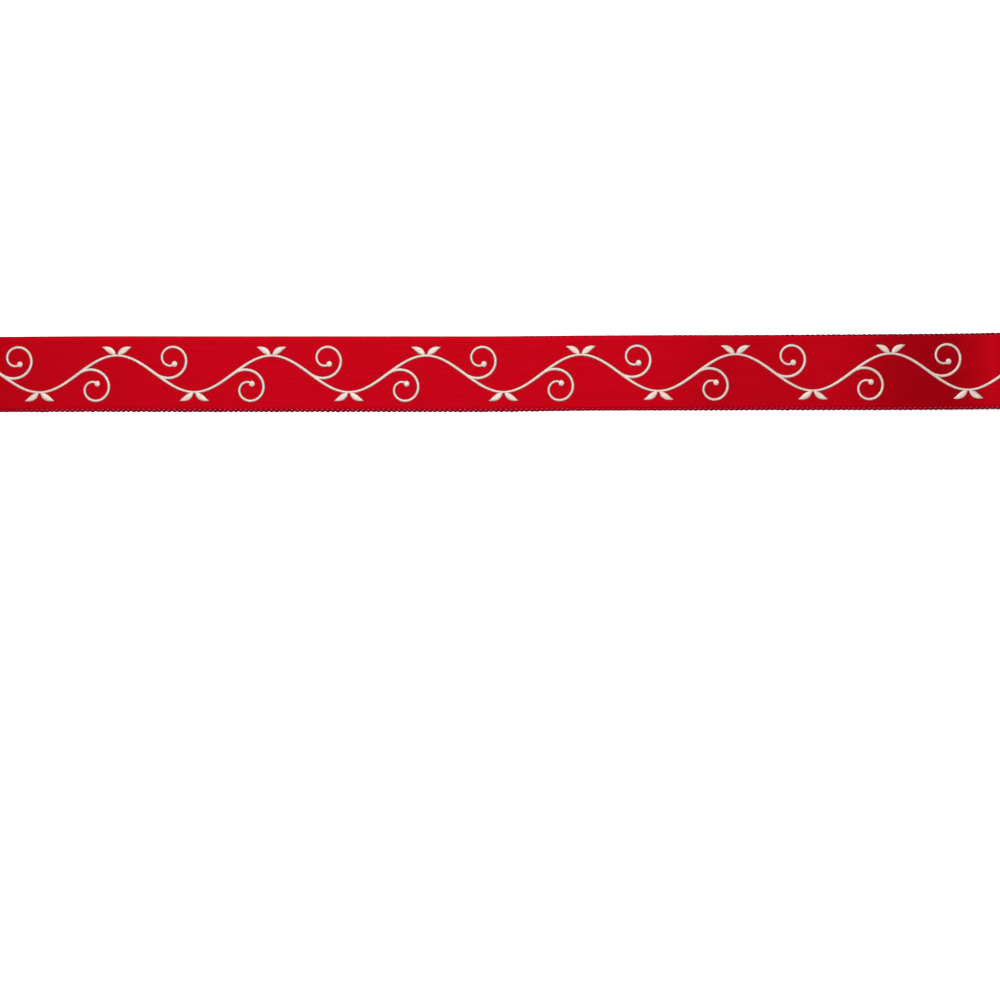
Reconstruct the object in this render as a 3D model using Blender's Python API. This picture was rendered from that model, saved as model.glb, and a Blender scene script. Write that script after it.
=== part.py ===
"""A cut length of satin ribbon, lying face up on a flat surface.

The ribbon is one woven band, so it is one solid. It lies flat for most of its length. Towards its right end
it rises in one low, uneven wave and comes down again on its cut end.
The frame has X along the ribbon, Y across it and Z up. The origin is on the surface that the ribbon lies
on, in the middle of the ribbon.
"""

from collections import namedtuple

import bmesh
import bpy
import numpy as np

MM = 0.001

# Driving sizes
LENGTH = 264 * MM
WIDTH = 16 * MM
THICKNESS = 1.0 * MM
EDGE_ROUND = 0.3 * MM

# How finely the cloth is modelled
STATION_STEP = 2 * MM
STRIPS_ACROSS = 4
EDGE_FACETS = 1
EDGE_CORNER = np.radians(60)  # sharper than any bend along the ribbon, so only selvedges and ends are rounded
SMOOTH_UP_TO = np.radians(40)

# How the ribbon lies. Each section is a place along the ribbon, measured from its left cut end, and the lift
# is the height of the ribbon's underside there. Both are in mm.
Section = namedtuple("Section", "along lift")
SECTIONS = [
    Section(along=0, lift=0.00),
    Section(along=174, lift=0.00),
    Section(along=199, lift=0.35),
    Section(along=216, lift=0.62),
    Section(along=229, lift=1.20),
    Section(along=238, lift=1.70),
    Section(along=248, lift=0.95),
    Section(along=258, lift=0.00),
    Section(along=264, lift=0.00),
]

# The woven polyester's colour and gloss
SATIN_RED = (0.52, 0.004, 0.012, 1.0)
SATIN_ROUGHNESS = 0.42


def clear_scene():
    for obj in list(bpy.data.objects):
        bpy.data.objects.remove(obj)


def lift_at(along):
    """The height of the underside, as a smooth line through the sections that never overshoots them."""
    at = np.array([section.along for section in SECTIONS]) * MM
    lift = np.array([section.lift for section in SECTIONS]) * MM
    gap = np.diff(at)
    slope = np.diff(lift) / gap
    before, after = slope[:-1], slope[1:]
    same_way = before * after > 0
    inner = np.zeros(len(before))
    inner[same_way] = 2 * before[same_way] * after[same_way] / (before + after)[same_way]
    tangent = np.concatenate([slope[:1], inner, slope[-1:]])
    row = np.clip(np.searchsorted(at, along, side="right") - 1, 0, len(gap) - 1)
    t = (along - at[row]) / gap[row]
    rise = lift[row + 1] - lift[row]
    start_bend = tangent[row] * gap[row]
    end_bend = tangent[row + 1] * gap[row]
    return (
        lift[row]
        + rise * t * t * (3 - 2 * t)
        + start_bend * t * (1 - t) ** 2
        - end_bend * t * t * (1 - t)
    )


def satin_material():
    material = bpy.data.materials.new("satin_face")
    material.use_nodes = True
    shader = material.node_tree.nodes["Principled BSDF"]
    shader.inputs["Base Color"].default_value = SATIN_RED
    shader.inputs["Roughness"].default_value = SATIN_ROUGHNESS
    shader.inputs["Metallic"].default_value = 0.0
    return material


def underside_sheet():
    """The ribbon's underside as a grid of faces, bent the way the ribbon lies."""
    sheet = bmesh.new()
    bmesh.ops.create_grid(
        sheet,
        x_segments=round(LENGTH / STATION_STEP),
        y_segments=STRIPS_ACROSS,
        size=1,
    )
    for vert in sheet.verts:
        # The flat grid runs from -1 to 1 both ways.
        end, side = vert.co.x, vert.co.y
        along = (end + 1) * LENGTH / 2
        vert.co = (end * LENGTH / 2, side * WIDTH / 2, lift_at(along))
    mesh = bpy.data.meshes.new("ribbon")
    sheet.to_mesh(mesh)
    sheet.free()
    return mesh


def make_ribbon():
    ribbon = bpy.data.objects.new("ribbon", underside_sheet())
    bpy.context.scene.collection.objects.link(ribbon)
    ribbon.data.materials.append(satin_material())

    # The cloth stands on its underside, so the flat stretch stays a true flat face.
    cloth = ribbon.modifiers.new("cloth", "SOLIDIFY")
    cloth.thickness = THICKNESS
    cloth.offset = 1.0
    cloth.use_even_offset = True

    # Rounded selvedges and cut ends
    edges = ribbon.modifiers.new("edges", "BEVEL")
    edges.width = EDGE_ROUND
    edges.segments = EDGE_FACETS
    edges.limit_method = "ANGLE"
    edges.angle_limit = EDGE_CORNER

    ribbon.data.shade_smooth()
    ribbon.data.set_sharp_from_angle(angle=SMOOTH_UP_TO)


clear_scene()
make_ribbon()
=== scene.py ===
import math

import bpy
import numpy as np
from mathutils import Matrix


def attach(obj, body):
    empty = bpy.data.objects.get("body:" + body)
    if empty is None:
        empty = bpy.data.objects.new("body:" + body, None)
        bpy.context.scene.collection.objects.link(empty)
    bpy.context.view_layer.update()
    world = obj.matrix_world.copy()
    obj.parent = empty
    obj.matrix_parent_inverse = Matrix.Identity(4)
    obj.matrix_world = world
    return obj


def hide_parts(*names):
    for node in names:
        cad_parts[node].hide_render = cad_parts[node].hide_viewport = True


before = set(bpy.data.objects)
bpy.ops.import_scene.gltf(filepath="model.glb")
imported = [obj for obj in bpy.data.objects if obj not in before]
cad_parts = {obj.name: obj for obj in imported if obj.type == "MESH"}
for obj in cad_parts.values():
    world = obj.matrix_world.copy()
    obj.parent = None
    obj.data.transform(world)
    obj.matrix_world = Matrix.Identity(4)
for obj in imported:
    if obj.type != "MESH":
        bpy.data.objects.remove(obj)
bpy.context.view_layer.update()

mm = 0.001
sharpFrom = math.radians(50)
dice = np.random.default_rng(16)

# How the ribbon lies, in mm. Along is measured from its left cut end. Lift is the height of its underside,
# which follows the CAD solid's low wave, with the small changes of slope that the shine shows. Drift is how
# far the middle line wanders sideways, and widen is how much wider the ribbon is than its size.
ribbonLie = {
    "lift": [
        (0, 0.00), (128, 0.00), (138, 0.05), (146, 0.13), (153, 0.29), (160, 0.31), (166, 0.23),
        (173, 0.07), (181, 0.00), (186, 0.03), (190, 0.10), (196, 0.26), (202, 0.35), (210, 0.43),
        (216, 0.48), (220, 0.55), (226, 0.82), (229, 1.08), (238, 1.75), (248, 0.96), (258, 0.00),
        (264, 0.00),
    ],
    "drift": [
        (0, -0.03), (16, 0.02), (34, 0.09), (68, -0.02), (102, -0.12), (119, -0.18),
        (144, -0.05), (179, -0.05), (200, -0.06), (221, 0.00), (230, 0.08), (264, 0.17),
    ],
    "widen": [(0, 0.00), (182, 0.00), (204, 0.08), (230, 0.14), (264, 0.00)],
}
# How fully the yarn stands out of the cloth along each selvedge, from 0, pulled flat, to 1
loopFullness = {
    "front_selvedge": [
        (0, 0.45), (18, 0.45), (27, 0.90), (44, 1.00), (122, 1.00),
        (136, 0.60), (156, 0.50), (168, 0.70), (264, 0.70),
    ],
    "back_selvedge": [
        (0, 0.10), (118, 0.10), (132, 0.35), (180, 0.45), (198, 0.60), (264, 0.65),
    ],
}

cloth = {
    "length": 264.0,
    "width": 16.0,
    "underside": 0.06,     # height of the cloth's back over the surface that the selvedges rest on
    "thickness": 0.28,
    "stationStep": 0.5,
    "threadStep": 0.5,
    "edgeReach": 0.08,     # how far past the ribbon's nominal width the cloth goes
    "edgePull": 0.14,      # how far full loops pull its edge in, over the width edgeBand
    "edgeBand": 1.3,
    "edgeRows": [1, 0.88, 0.77, 0.65, 0.54, 0.38, 0.23, 0.11, 0.07, 0.03, 0.008, 0],    # shares of edgeBand
    "edgeTaper": 0.9,      # over this width it thins towards its edge
    "edgeThinning": 0.15,
    "edgeCurve": 1.5,      # over 1, most of that thinning is close to the edge
    "edgeRound": (0.1, 0.05),          # width and height of the rounding at the very edge
    "shadedEdge": 0.5,     # this far in, the cloth lies between and under full loops and is coloured with the painted shade of shadedSatin
    "ripple": 0.008,       # two faint waves of this height make the cloth a little uneven
}
faceHeight = cloth["underside"] + cloth["thickness"]
middleAlong = cloth["length"] / 2


def hexColour(code):
    srgb = np.array([int(code[i : i + 2], 16) for i in (1, 3, 5)]) / 255
    linear = np.where(srgb <= 0.04045, srgb / 12.92, ((srgb + 0.055) / 1.055) ** 2.4)
    return (*(float(c) for c in linear), 1.0)


def smoothLine(rows, along):
    # A smooth line through the rows that never overshoots them, and its slope
    at, value = np.array(rows, float).T
    gap = np.diff(at)
    slope = np.diff(value) / gap
    before, after = slope[:-1], slope[1:]
    sameWay = before * after > 0
    inner = np.zeros(len(before))
    inner[sameWay] = 2 * before[sameWay] * after[sameWay] / (before + after)[sameWay]
    tangent = np.concatenate([slope[:1], inner, slope[-1:]])
    row = np.clip(np.searchsorted(at, along, side="right") - 1, 0, len(gap) - 1)
    t = (along - at[row]) / gap[row]
    step = value[row + 1] - value[row]
    startBend, endBend = tangent[row] * gap[row], tangent[row + 1] * gap[row]
    line = (
        value[row] + step * t * t * (3 - 2 * t)
        + startBend * t * (1 - t) ** 2 - endBend * t * t * (1 - t)
    )
    rate = 6 * step * t * (1 - t) + startBend * (1 - t) * (1 - 3 * t) - endBend * t * (2 - 3 * t)
    return line, rate / gap[row]


def layOn(along, across, height):
    # Takes places on the flat ribbon, in mm, to where they lie, in metres
    along, across, height = np.broadcast_arrays(*(np.asarray(x, float) for x in (along, across, height)))
    lift, slope = smoothLine(ribbonLie["lift"], np.clip(along, 0, cloth["length"]))
    drift = smoothLine(ribbonLie["drift"], along)[0]
    widen = smoothLine(ribbonLie["widen"], along)[0]
    tip = np.arctan(slope)
    # The 2 keeps the two waves from ever dipping into the surface below
    ripple = cloth["ripple"] * (
        2 + np.sin(along / 3.1 + 0.9 * np.sin(along / 17)) + np.sin(along / 4.7 + across / 6 + 2)
    )
    side = across * (1 + widen / cloth["width"]) + drift
    x = along - middleAlong - height * np.sin(tip)
    z = lift + ripple + height * np.cos(tip)
    return np.stack([x, side, z], axis=-1) * mm


def tubeFaces(rings, count, first=0, capped=True):
    # Faces of a tube of rings, each with the same count of points, stored ring by ring
    around = np.arange(count)
    ahead = np.roll(around, -1)
    start = first + (np.arange(rings - 1) * count)[:, None]
    sides = np.stack([start + around, start + ahead, start + count + ahead, start + count + around], axis=2)
    faces = list(sides.reshape(-1, 4))
    if capped:
        faces += [first + around[::-1], first + (rings - 1) * count + around]
    return faces


def turnedOver(faces):
    return [face[::-1] for face in faces]


def makePiece(name, flatPoints, faces, materials, faceMaterials=None):
    # The flat points are along, across and height in mm, and the first two are kept as the thread map.
    mesh = bpy.data.meshes.new(name)
    mesh.from_pydata(layOn(*flatPoints.T).tolist(), [], [list(map(int, face)) for face in faces])
    threads = mesh.uv_layers.new(name="threads")
    corners = np.empty(len(mesh.loops), int)
    mesh.loops.foreach_get("vertex_index", corners)
    threads.data.foreach_set("uv", flatPoints[corners, :2].astype(np.float32).ravel())
    for material in materials:
        mesh.materials.append(material)
    if faceMaterials is not None:
        mesh.polygons.foreach_set("material_index", np.asarray(faceMaterials, int))
    mesh.shade_smooth()
    mesh.set_sharp_from_angle(angle=sharpFrom)
    piece = bpy.data.objects.new(name, mesh)
    bpy.context.scene.collection.objects.link(piece)
    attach(piece, "root")
    print(f"{name}: {sum(len(face) - 2 for face in faces)} triangles")
    return piece


polyesterIor = 1.58
binderIor = 1.5
waveRepeat = 0.31          # Blender's wave texture repeats after about this length where its scale is 1


def addNode(material, kind, settings, links):
    # One node, with its values by socket or property and its inputs' sources by socket
    made = material.node_tree.nodes.new("ShaderNode" + kind)
    for key, value in settings.items():
        if isinstance(key, int) or key in made.inputs:
            made.inputs[key].default_value = value
        else:
            setattr(made, key, value)
    for key, source in links.items():
        material.node_tree.links.new(source, made.inputs[key])
    return made


def newMaterial(name, shaderSettings):
    material = bpy.data.materials.new(name)
    material.use_nodes = True
    shader = material.node_tree.nodes["Principled BSDF"]
    for key, value in shaderSettings.items():
        shader.inputs[key].default_value = value
    return material, shader


def setRamp(ramp, stops):
    elements = ramp.color_ramp.elements
    elements.remove(elements[-1])
    elements[0].position = stops[0][0]
    elements[0].color = hexColour(stops[0][1])
    for place, code in stops[1:]:
        elements.new(place).color = hexColour(code)


# Polyester satin, piece-dyed and woven with long floats of fine bright yarn lying along the ribbon. The
# floats reflect like parallel wires, so a flat stretch shines evenly and the red deepens where it tips.
satinFace = {
    "deepRed": "#92030d",
    "brightRed": "#9a0412",
    "edgeTint": "#ff2a3c",
    "metallic": 0.425,     # stands in for light that comes back coloured from inside the bright yarn
    "clearShine": 0.0,     # none, or the white paper's reflection would wash out the red in low views
    "roughness": 0.3,
    "anisotropy": 0.9,
    "acrossFloats": 0.25,  # a quarter turn, as the highlight of a wire is stretched across it
    "floatPitch": 0.45,    # real floats are 0.15 mm apart, drawn three times as coarse so that they show
    "floatLength": 9.0,
    "floatDepth": 0.004,
}


def makeSatinFace():
    material, shader = newMaterial("polyesterSatinFace", {
        "Metallic": satinFace["metallic"],
        "Roughness": satinFace["roughness"],
        "Anisotropic": satinFace["anisotropy"],
        "Anisotropic Rotation": satinFace["acrossFloats"],
        "Specular IOR Level": satinFace["clearShine"],
        "Specular Tint": hexColour(satinFace["edgeTint"]),
        "IOR": polyesterIor,
    })
    threads = addNode(material, "UVMap", {"uv_map": "threads"}, {})
    floats = addNode(material, "Mapping", {
        "Scale": (1 / satinFace["floatLength"], 1 / satinFace["floatPitch"], 1),
    }, {"Vector": threads.outputs["UV"]})
    hairlines = addNode(material, "TexNoise", {"Scale": 1.0, "Detail": 2.0, "Roughness": 0.6}, {
        "Vector": floats.outputs["Vector"],
    })
    red = addNode(material, "ValToRGB", {}, {"Fac": hairlines.outputs["Fac"]})
    setRamp(red, [(0.3, satinFace["deepRed"]), (0.7, satinFace["brightRed"])])
    bump = addNode(material, "Bump", {"Strength": 0.25, "Distance": satinFace["floatDepth"] * mm}, {
        "Height": hairlines.outputs["Fac"],
    })
    tangent = addNode(material, "Tangent", {"direction_type": "UV_MAP", "uv_map": "threads"}, {})
    material.node_tree.links.new(red.outputs["Color"], shader.inputs["Base Color"])
    material.node_tree.links.new(bump.outputs["Normal"], shader.inputs["Normal"])
    material.node_tree.links.new(tangent.outputs["Tangent"], shader.inputs["Tangent"])
    return material


# The back of the same satin, where the weft crosses: duller, with fine ribs across the ribbon, and painted
# shade that makes the valleys between the ribs darker.
satinBack = {
    "valleyShadeRed": "#6c030e",
    "ribRed": "#8a0412",
    "edgeTint": "#ff4050",
    "roughness": 0.6,
    "clearShine": 0.15,
    "ribPitch": 0.4,
    "ribDepth": 0.02,
}


def makeSatinBack():
    material, shader = newMaterial("polyesterSatinBack", {
        "Roughness": satinBack["roughness"],
        "Specular IOR Level": satinBack["clearShine"],
        "Specular Tint": hexColour(satinBack["edgeTint"]),
        "IOR": polyesterIor,
    })
    threads = addNode(material, "UVMap", {"uv_map": "threads"}, {})
    ribs = addNode(material, "TexWave", {
        "wave_type": "BANDS", "bands_direction": "X",
        "Scale": waveRepeat / satinBack["ribPitch"], "Distortion": 0.6, "Detail": 1.0,
    }, {"Vector": threads.outputs["UV"]})
    # Painted shade: darker in the valleys between the ribs, lighter on their tops
    red = addNode(material, "ValToRGB", {}, {"Fac": ribs.outputs["Fac"]})
    setRamp(red, [(0.0, satinBack["valleyShadeRed"]), (1.0, satinBack["ribRed"])])
    bump = addNode(material, "Bump", {"Strength": 0.6, "Distance": satinBack["ribDepth"] * mm}, {
        "Height": ribs.outputs["Fac"],
    })
    material.node_tree.links.new(red.outputs["Color"], shader.inputs["Base Color"])
    material.node_tree.links.new(bump.outputs["Normal"], shader.inputs["Normal"])
    return material


# Painted shade: the same dyed yarn in the gaps of the selvedge is coloured deep and dull for the shade that
# falls between the loops.
shadedSatin = {"gapShadeRed": "#60030e", "roughness": 0.8, "clearShine": 0.0}


def makeShadedSatin():
    return newMaterial("polyesterSatinPaintedShadeBetweenLoops", {
        "Base Color": hexColour(shadedSatin["gapShadeRed"]),
        "Roughness": shadedSatin["roughness"],
        "Specular IOR Level": shadedSatin["clearShine"],
        "IOR": polyesterIor,
    })[0]


# Doubled polyester yarn that turns back at the selvedge: a soft pinkish glint on each crest, and painted
# shade that colours the yarn deep red where the loop turns down.
selvedgeYarn = {
    "crestRed": "#a40a28",
    "turnedShadeRed": "#5e020c",
    "edgeTint": "#ff86b0",
    "metallic": 0.45,
    "roughness": 0.36,
    "clearShine": 0.2,
    "turnsFrom": 7.62,     # distance from the middle line where the loops start to turn down, on average, and the painted shade begins; it is full at turnedAt
    "turnedAt": 7.82,
    "backSooner": 0.07,    # the painted shade starts this much sooner on the back selvedge, and later on the front one
    "twistPitch": 0.22,
    "twistDepth": 0.01,
}


def makeSelvedgeYarn():
    material, shader = newMaterial("polyesterSelvedgeYarn", {
        "Metallic": selvedgeYarn["metallic"],
        "Roughness": selvedgeYarn["roughness"],
        "Specular IOR Level": selvedgeYarn["clearShine"],
        "Specular Tint": hexColour(selvedgeYarn["edgeTint"]),
        "IOR": polyesterIor,
    })
    threads = addNode(material, "UVMap", {"uv_map": "threads"}, {})
    place = addNode(material, "SeparateXYZ", {}, {"Vector": threads.outputs["UV"]})
    shifted = addNode(material, "Math", {"operation": "ADD", 1: selvedgeYarn["backSooner"]}, {
        0: place.outputs["Y"],
    })
    fromMiddle = addNode(material, "Math", {"operation": "ABSOLUTE"}, {0: shifted.outputs["Value"]})
    # Painted shade: the yarn is coloured deep red on the turned-down outer part of each loop
    turned = addNode(material, "MapRange", {
        "From Min": selvedgeYarn["turnsFrom"], "From Max": selvedgeYarn["turnedAt"],
    }, {"Value": fromMiddle.outputs["Value"]})
    red = addNode(material, "ValToRGB", {}, {"Fac": turned.outputs["Result"]})
    setRamp(red, [(0.0, selvedgeYarn["crestRed"]), (1.0, selvedgeYarn["turnedShadeRed"])])
    twist = addNode(material, "TexWave", {
        "wave_type": "BANDS", "bands_direction": "DIAGONAL",
        "Scale": waveRepeat / selvedgeYarn["twistPitch"],
    }, {"Vector": threads.outputs["UV"]})
    bump = addNode(material, "Bump", {"Strength": 0.3, "Distance": selvedgeYarn["twistDepth"] * mm}, {
        "Height": twist.outputs["Fac"],
    })
    material.node_tree.links.new(red.outputs["Color"], shader.inputs["Base Color"])
    material.node_tree.links.new(bump.outputs["Normal"], shader.inputs["Normal"])
    return material


# Fine silver glitter screen printed in clear binder: pale flakes at every angle, each faintly tinted.
glitterPrint = {
    "flake": 0.3,          # real flakes are near 0.1 mm, drawn larger so that their tints show
    "tints": [
        (0.0, "#c6aca0"), (0.22, "#d0b5a0"), (0.42, "#bdb9ad"), (0.58, "#d1abaf"), (0.74, "#d5beae"),
        (0.88, "#bfb2bb"),
    ],
    "flakeStep": 0.03,     # how much higher one flake may lie than the next
    "metallic": 0.3,
    "roughness": 0.42,
    "clearShine": 0.4,
}


def makeGlitterPrint():
    material, shader = newMaterial("silverGlitterInBinder", {
        "Metallic": glitterPrint["metallic"],
        "Roughness": glitterPrint["roughness"],
        "Specular IOR Level": glitterPrint["clearShine"],
        "IOR": binderIor,
    })
    threads = addNode(material, "UVMap", {"uv_map": "threads"}, {})
    flakes = addNode(material, "TexVoronoi", {"Scale": 1 / glitterPrint["flake"]}, {
        "Vector": threads.outputs["UV"],
    })
    pick = addNode(material, "SeparateColor", {}, {"Color": flakes.outputs["Color"]})
    tint = addNode(material, "ValToRGB", {}, {"Fac": pick.outputs["Red"]})
    tint.color_ramp.interpolation = "CONSTANT"
    setRamp(tint, glitterPrint["tints"])
    bump = addNode(material, "Bump", {"Strength": 0.5, "Distance": glitterPrint["flakeStep"] * mm}, {
        "Height": pick.outputs["Green"],
    })
    material.node_tree.links.new(tint.outputs["Color"], shader.inputs["Base Color"])
    material.node_tree.links.new(bump.outputs["Normal"], shader.inputs["Normal"])
    return material


# Clear binder that has bled a little past the glitter: a deep red rim, partly yarn wetted out by the binder
# and partly painted shade at the foot of the raised print.
binderEdge = {"wetShadeRed": "#6e0309", "roughness": 0.4, "clearShine": 0.1}


def makeBinderEdge():
    return newMaterial("binderSoakedSatinPaintedShade", {
        "Base Color": hexColour(binderEdge["wetShadeRed"]),
        "Roughness": binderEdge["roughness"],
        "Specular IOR Level": binderEdge["clearShine"],
        "IOR": binderIor,
    })[0]


def makeCloth():
    edge = cloth["width"] / 2 + cloth["edgeReach"]
    nearEdge = cloth["edgeBand"] * np.array(cloth["edgeRows"])
    inner = edge - nearEdge[0]
    plain = np.linspace(-inner, inner, round(2 * inner / cloth["threadStep"]) + 1)
    across = np.concatenate([-edge + nearEdge[:0:-1], plain, edge - nearEdge[1:]])
    fromEdge = edge - np.abs(across)
    roundWidth, roundHeight = cloth["edgeRound"]
    rounding = roundHeight * np.sqrt(1 - (1 - np.clip(fromEdge / roundWidth, 0, 1)) ** 2) - roundHeight
    nearness = 1 - np.clip(fromEdge / cloth["edgeTaper"], 0, 1)
    thinning = cloth["edgeThinning"] * nearness ** cloth["edgeCurve"]
    ring = np.concatenate([
        np.stack([across, faceHeight - thinning + rounding], axis=1)[::-1],
        np.stack([across, cloth["underside"] - rounding], axis=1),
    ])
    count = len(ring)
    stations = np.linspace(0, cloth["length"], round(cloth["length"] / cloth["stationStep"]) + 1)
    front = smoothLine(loopFullness["front_selvedge"], stations)[0]
    back = smoothLine(loopFullness["back_selvedge"], stations)[0]
    fullness = np.where(ring[:, 0] < 0, front[:, None], back[:, None])
    depth = edge - np.abs(ring[:, 0])
    pull = cloth["edgePull"] * fullness * (1 - np.clip(depth / cloth["edgeBand"], 0, 1))
    points = np.stack(np.broadcast_arrays(
        stations[:, None], ring[:, 0] - np.sign(ring[:, 0]) * pull, ring[:, 1],
    ), axis=2).reshape(-1, 3)
    sideFaces = tubeFaces(len(stations), count, capped=False)
    upper = np.arange(len(across) - 1)
    cap = np.stack([upper, count - 1 - upper, count - 2 - upper, upper + 1], axis=1)
    faces = sideFaces + list(cap) + list(cap[:, ::-1] + (len(stations) - 1) * count)
    onBack = np.arange(count) >= len(across)
    shaded = ~onBack & (depth < cloth["shadedEdge"] * fullness)
    # Each face's material: 0 is the satin face, 1 its back and 2 the strip of painted shade at the loops
    around = np.where(onBack, 1, np.where(shaded & np.roll(shaded, -1, axis=1), 2, 0))
    piece = makePiece(
        "ribbon_cloth", points, faces, [makeSatinFace(), makeSatinBack(), makeShadedSatin()],
        np.concatenate([around[:-1].ravel(), np.ones(2 * len(cap), int)]),
    )
    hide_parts("ribbon")
    return piece


# The yarn turns back at both selvedges in a row of small loops.
selvedge = {
    "pitch": 1.09,
    "halfWidth": 0.45,
    "halfThickness": 0.13,
    "flatShare": 0.4,      # share of its thickness that a loop keeps when it is pulled flat
    "reach": 0.12,         # how much further out full loops turn than flat ones
    "sink": 0.10,          # how much lower a loop lies that is pulled flat
    "lean": 0.12,
    "endRoom": 0.6,        # at least this length is left free of loops, both ends together
    "placeSpread": 0.03,
    "sizeSpread": 0.08,    # as a share of the loop's own size
    "reachSpread": 0.012,
    "sides": 10,
}
# The middle of a loop's yarn, from the face over the edge to the back: how far it is past the ribbon's
# edge, its height, and how full the yarn is there.
loopRoute = [
    (-0.92, 0.15, 0.45), (-0.76, 0.195, 0.80), (-0.58, 0.235, 1.00), (-0.42, 0.26, 1.00),
    (-0.28, 0.255, 1.00), (-0.15, 0.225, 1.00), (-0.08, 0.18, 1.00), (-0.12, 0.14, 1.00),
    (-0.24, 0.13, 1.00), (-0.38, 0.13, 0.95), (-0.50, 0.13, 0.75), (-0.62, 0.14, 0.50),
]


def makeSelvedge(name, side, material):
    out, high, plump = np.array(loopRoute).T
    route = np.stack([out, high], axis=1)
    forward = np.gradient(route, axis=0)
    forward /= np.linalg.norm(forward, axis=1)[:, None]
    outward = np.stack([-forward[:, 1], forward[:, 0]], axis=1)
    turn = np.linspace(0, 2 * np.pi, selvedge["sides"], endpoint=False)
    progress = np.linspace(-1, 1, len(route))
    loops = int((cloth["length"] - selvedge["endRoom"]) / selvedge["pitch"])
    first = (cloth["length"] - (loops - 1) * selvedge["pitch"]) / 2
    points, faces = [], []
    for number in range(loops):
        at = first + number * selvedge["pitch"] + dice.normal(0, selvedge["placeSpread"])
        full = smoothLine(loopFullness[name], at)[0]
        wide = selvedge["halfWidth"] * dice.normal(1, selvedge["sizeSpread"])
        plumpness = selvedge["flatShare"] + (1 - selvedge["flatShare"]) * full
        thick = selvedge["halfThickness"] * plumpness * dice.normal(1, selvedge["sizeSpread"])
        reach = selvedge["reach"] * full + dice.normal(0, selvedge["reachSpread"])
        along = at + selvedge["lean"] * progress[:, None] + wide * plump[:, None] * np.cos(turn)
        bulge = thick * plump[:, None] * np.sin(turn)
        place = route[:, None, :] + bulge[:, :, None] * outward[:, None, :]
        across = side * (cloth["width"] / 2 + place[:, :, 0] + reach)
        height = place[:, :, 1] - selvedge["sink"] * (1 - full)
        points.append(np.stack([along, across, np.maximum(height, 0)], axis=2).reshape(-1, 3))
        loop = tubeFaces(len(route), len(turn), number * along.size)
        faces += loop if side < 0 else turnedOver(loop)
    piece = makePiece(name, np.concatenate(points), faces, [material])
    return piece


# A plain running vine takes the place of the printing: a waving stem, curled tendrils, leaves and berries.
vine = {
    "wave": 33.0,
    "rise": 3.9,
    "stemWidth": (0.45, 0.58),         # over the crests and where the stem crosses the middle
    "tendrilWidth": (0.56, 0.42),
    "tendrilRadius": 4.7,
    "tendrilTightening": 0.16,
    "tendrilTurns": 1.22,
    "berry": 1.2,
    "berrySteps": 13,
    "leafLength": 3.4,
    "leafWidth": 1.1,
    "leafStalk": 0.1,      # width that a leaf keeps at both its ends
    "leafBase": 0.25,      # how far to either side of the crest a leaf starts
    "leafFullness": 0.85,  # under 1, the leaf is widest before its middle
    "leafSpread": 38,      # degrees either side of straight out
    "leafCurve": 5.0,
    "inkRise": 0.09,
    "fullRiseWidth": 0.5,  # a narrower stroke is lower too, down to leastRise
    "leastRise": 0.15,
    "leastWidth": 0.02,
    "unevenInk": 0.06,
    "bleed": 0.11,         # how far clear binder and its rim of painted shade show past the glitter
    "bleedRise": 0.006,
    "soakedIn": 0.03,      # how deep the stroke's underside lies in the cloth
    "step": 0.2,
    "endMargin": 0.5,
}
# The print's cross-section from its left to its right edge, in shares of its half width and of its rise
inkSection = [(-1, 0.1), (-0.85, 0.6), (-0.5, 0.93), (0, 1), (0.5, 0.93), (0.85, 0.6), (1, 0.1)]


def spiralPath(start, heading, radius, tightening, sweep, side, step):
    # Starts along the heading and bends to its right where side is 1; the bend tightens as it turns
    count = max(8, int(radius * sweep / step))
    angle = (np.arange(count) + 0.5) * sweep / count
    length = radius * np.exp(-tightening * angle) * sweep / count
    way = heading - side * angle
    steps = np.stack([length * np.cos(way), length * np.sin(way)], axis=1)
    return np.concatenate([[start], np.asarray(start) + np.cumsum(steps, axis=0)])


def roundEnds(widths, path):
    # Narrows a stroke to nothing over its last half width, as a round pen does
    run = np.concatenate([[0], np.cumsum(np.linalg.norm(np.diff(path, axis=0), axis=1))])
    inside = np.clip(np.minimum(run, run[-1] - run) / (widths / 2), 0, 1)
    return widths * np.sqrt(1 - (1 - inside) ** 2)


def addStroke(ink, path, widths):
    # One raised stroke of print, with clear binder bleeding out on both sides as a rim that is partly
    # painted shade
    forward = np.gradient(path, axis=0)
    forward /= np.linalg.norm(forward, axis=1)[:, None]
    leftward = np.stack([-forward[:, 1], forward[:, 0]], axis=1)
    section = np.array(inkSection)
    half = np.maximum(widths, vine["leastWidth"])[:, None] / 2
    printed = half * section[:, 0]
    bled = half + vine["bleed"]
    share = np.clip(widths / vine["fullRiseWidth"], vine["leastRise"], 1)[:, None]
    rise = vine["inkRise"] * share * section[:, 1]
    rise = rise * dice.normal(1, vine["unevenInk"], rise.shape)
    thin = np.full_like(bled, vine["bleedRise"])
    sunk = np.full_like(bled, -vine["soakedIn"])
    columns = np.concatenate([-bled, printed, bled, bled, -bled], axis=1)
    height = faceHeight + np.concatenate([thin, rise, thin, sunk, sunk], axis=1)
    flat = path[:, None, :] + leftward[:, None, :] * columns[:, :, None]
    stroke = tubeFaces(len(path), columns.shape[1], ink["count"])
    ink["points"].append(np.concatenate([flat, height[:, :, None]], axis=2).reshape(-1, 3))
    ink["count"] += columns.size
    ink["faces"] += turnedOver(stroke)
    glitter = (np.arange(columns.shape[1]) >= 1) & (np.arange(columns.shape[1]) < len(section))
    # Outside the glitter, the rim takes the binder edge with its painted shade
    ink["materials"] += [np.tile(~glitter, len(path) - 1), [1, 1]]


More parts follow.
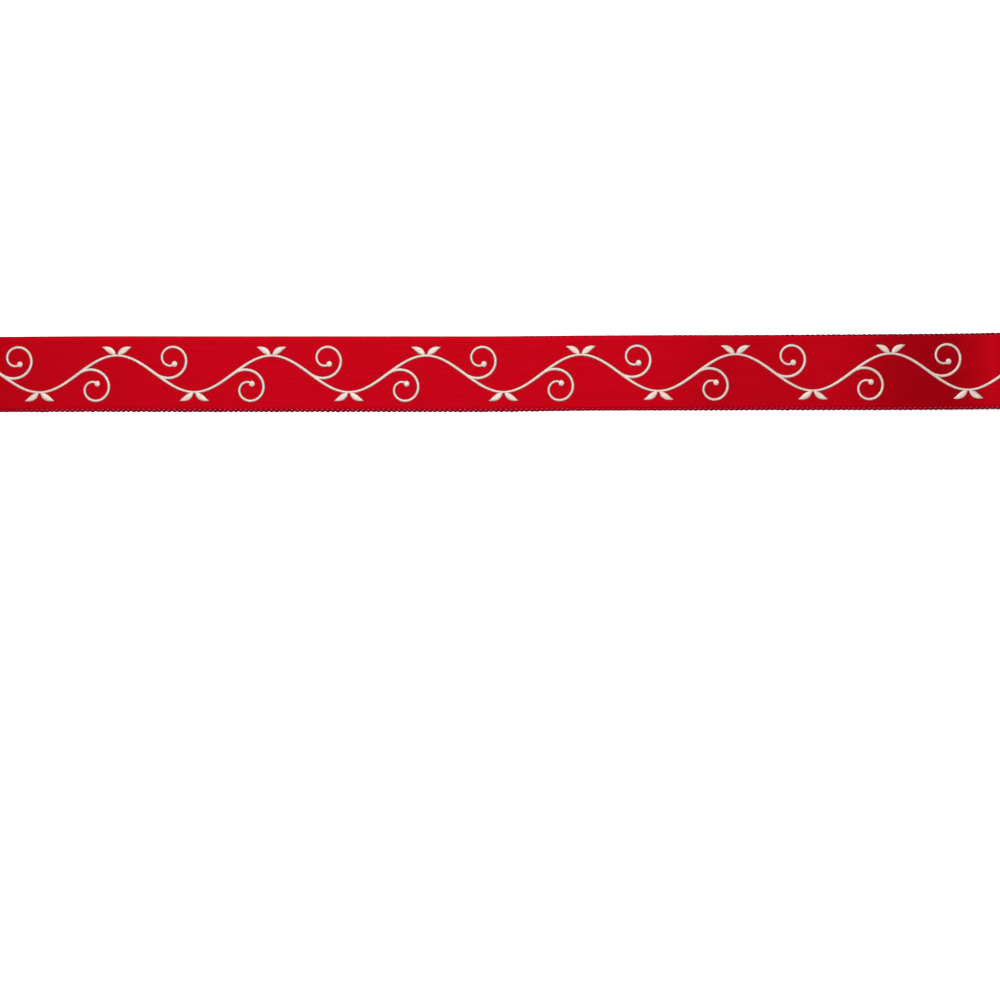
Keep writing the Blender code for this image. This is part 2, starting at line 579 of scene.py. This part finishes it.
def makePrint():
    ink = {"points": [], "faces": [], "materials": [], "count": 0}
    length, wave, rise = cloth["length"], vine["wave"], vine["rise"]
    along = np.arange(vine["endMargin"], length - vine["endMargin"], vine["step"])
    stem = np.stack([along, rise * np.sin(2 * np.pi * along / wave)], axis=1)
    thin, thick = vine["stemWidth"]
    swell = thin + (thick - thin) * np.cos(2 * np.pi * along / wave) ** 2
    addStroke(ink, stem, roundEnds(swell, stem))
    climb = math.atan(rise * 2 * np.pi / wave)
    for number in range(round(2 * length / wave)):
        side = 1 if number % 2 == 0 else -1
        start = number * wave / 2
        if number > 0:
            tendril = spiralPath(
                (start, 0), climb * side, vine["tendrilRadius"], vine["tendrilTightening"],
                2 * np.pi * vine["tendrilTurns"], side, vine["step"],
            )
            wide, narrow = vine["tendrilWidth"]
            addStroke(ink, tendril, roundEnds(np.linspace(wide, narrow, len(tendril)), tendril))
            dot = np.linspace(-0.5, 0.5, vine["berrySteps"]) * vine["berry"]
            berry = tendril[-1] + np.column_stack([dot, np.zeros(len(dot))])
            addStroke(ink, berry, roundEnds(np.full(len(dot), vine["berry"]), berry))
        crest = np.array([start + wave / 4, side * rise])
        for lean in (-1, 1):
            leaf = spiralPath(
                crest + (lean * vine["leafBase"], 0), side * math.radians(90 - lean * vine["leafSpread"]),
                vine["leafCurve"], 0, vine["leafLength"] / vine["leafCurve"], side * lean, vine["step"] / 2,
            )
            share = np.linspace(0, 1, len(leaf))
            leafWidths = vine["leafWidth"] * np.sin(np.pi * share ** vine["leafFullness"])
            addStroke(ink, leaf, vine["leafStalk"] + leafWidths)
    piece = makePiece(
        "vine_print", np.concatenate(ink["points"]), ink["faces"], [makeGlitterPrint(), makeBinderEdge()],
        np.concatenate(ink["materials"]),
    )
    return piece


# Warp yarns cut straight across, which stand out by different fractions of a millimetre. They are in two
# rows, one under the face and one over the back.
cutEnds = {
    "pitch": 0.16,
    "radius": 0.07,
    "tipShares": [1, 1, 0.95, 0.55],   # of the radius, from inside the cloth out to the tip
    "shortest": 0.08,
    "longest": 0.38,
    "inside": 0.3,
    "fromSelvedge": 0.25,
    "sway": (0.05, 0.03),              # spread of the tips, sideways and up or down
    "bendAt": 0.6,         # share of the free length where the yarn bends, and its share of the sway there
    "bendSway": 0.4,
    "sides": 6,
}


def makeCutYarns(material):
    points, faces = [], []
    turn = np.linspace(0, 2 * np.pi, cutEnds["sides"], endpoint=False)
    reach = cloth["width"] / 2 - cutEnds["fromSelvedge"]
    rows = [cloth["underside"] + cutEnds["radius"], faceHeight - cutEnds["radius"]]
    for end, outward in ((0.0, -1), (cloth["length"], 1)):
        for row, height in enumerate(rows):
            for across in np.arange(-reach + row * cutEnds["pitch"] / 2, reach, cutEnds["pitch"]):
                out = dice.uniform(cutEnds["shortest"], cutEnds["longest"])
                run = np.array([-cutEnds["inside"], 0.0, out * cutEnds["bendAt"], out])
                sway = np.outer([0, 0, cutEnds["bendSway"], 1], dice.normal(0, cutEnds["sway"]))
                radius = cutEnds["radius"] * np.array(cutEnds["tipShares"])
                place = np.stack([
                    end + outward * (run[:, None] + 0 * turn),
                    across + sway[:, :1] + radius[:, None] * np.cos(turn),
                    np.maximum(height + sway[:, 1:] + radius[:, None] * np.sin(turn), 0.0),
                ], axis=2)
                yarnEnd = tubeFaces(len(run), len(turn), sum(len(p) for p in points))
                points.append(place.reshape(-1, 3))
                faces += turnedOver(yarnEnd) if outward < 0 else yarnEnd
    piece = makePiece("cut_yarn_ends", np.concatenate(points), faces, [material])
    return piece


clothPiece = makeCloth()
yarn = makeSelvedgeYarn()
trimmings = [
    makeSelvedge("front_selvedge", -1, yarn),
    makeSelvedge("back_selvedge", 1, yarn),
    makePrint(),
    makeCutYarns(yarn),
]

# A straight-down view. The photograph is 213.3 mm wide at the ribbon, whose middle line runs 27.1 mm above
# the picture's centre and climbs to the right by a hair.
view = {
    "pictureWidth": 213.33,
    "distance": 400.0,
    "centreAlong": 123.0,
    "centreBelowRibbon": 27.09,
    "ribbonClimb": 0.178,  # degrees
    "sensor": 36.0,
}


def makeCamera():
    data = bpy.data.cameras.new("camera")
    data.sensor_width = view["sensor"]
    data.lens = view["sensor"] * view["distance"] / view["pictureWidth"]
    camera = bpy.data.objects.new("camera", data)
    climb = math.radians(view["ribbonClimb"])
    below = view["centreBelowRibbon"] * mm
    camera.location = (
        (view["centreAlong"] - middleAlong) * mm - below * math.sin(climb),
        -below * math.cos(climb),
        (faceHeight + view["distance"]) * mm,
    )
    camera.rotation_euler = (0, 0, -climb)
    bpy.context.scene.collection.objects.link(camera)
    bpy.context.scene.camera = camera
    return camera


light = {
    # Sizes and places in metres: width and depth, and how far to the left of the camera its middle is. The
    # heart lies within the wide softbox and adds to it, so that the shine falls off in two steps.
    "softboxes": [
        {"name": "softbox", "size": (0.675, 0.9), "left": 0.077, "brightness": 3.3},
        {"name": "softboxHeart", "size": (0.472, 0.9), "left": 0.075, "brightness": 3.5},
    ],
    "height": 0.9,
    "behind": 0.38,        # beyond the ribbon, so the selvedge nearer the viewer is the darker one
    "ambient": 0.17,
    "paperWhite": "#f4f4f4",
    "paperGlow": 0.5,
}


def makeLights(camera):
    for box in light["softboxes"]:
        data = bpy.data.lights.new(box["name"], "AREA")
        data.shape = "RECTANGLE"
        data.size, data.size_y = box["size"]
        data.energy = box["brightness"] * math.pi * data.size * data.size_y
        softbox = bpy.data.objects.new(box["name"], data)
        softbox.location = (camera.location.x - box["left"], light["behind"], light["height"])
        bpy.context.scene.collection.objects.link(softbox)
    world = bpy.data.worlds.new("studio")
    world.use_nodes = True
    world.node_tree.nodes["Background"].inputs["Color"].default_value = (1, 1, 1, 1)
    world.node_tree.nodes["Background"].inputs["Strength"].default_value = light["ambient"]
    bpy.context.scene.world = world


# Matt white paper on a light table, so the background stays pure white and shows hardly any shadow. Far out
# it sweeps up all round, so that low views have no horizon.
paperSweep = {"flat": 2.5, "bend": 1.5, "steps": 12, "sides": 64}


def makeFloor():
    bend = np.linspace(0, math.pi / 2, paperSweep["steps"])
    reach = paperSweep["flat"] + paperSweep["bend"] * np.sin(bend)
    rise = paperSweep["bend"] * (1 - np.cos(bend))
    turn = np.linspace(0, 2 * np.pi, paperSweep["sides"], endpoint=False)
    rings = np.stack(np.broadcast_arrays(
        reach[:, None] * np.cos(turn), reach[:, None] * np.sin(turn), rise[:, None],
    ), axis=2).reshape(-1, 3)
    sweep = turnedOver(tubeFaces(len(bend), len(turn), capped=False))
    faces = [range(len(turn))] + sweep
    mesh = bpy.data.meshes.new("floor")
    mesh.from_pydata(rings.tolist(), [], [list(map(int, face)) for face in faces])
    mesh.shade_smooth()
    mesh.materials.append(newMaterial("backlitWhitePaper", {
        "Base Color": hexColour(light["paperWhite"]),
        "Roughness": 0.9,
        "Specular IOR Level": 0.1,
        "Emission Color": (1, 1, 1, 1),
        "Emission Strength": light["paperGlow"],
    })[0])
    floor = bpy.data.objects.new("floor", mesh)
    bpy.context.scene.collection.objects.link(floor)


makeLights(makeCamera())
makeFloor()
bpy.context.scene.view_settings.view_transform = "Standard"
print("camera, light and floor are set")
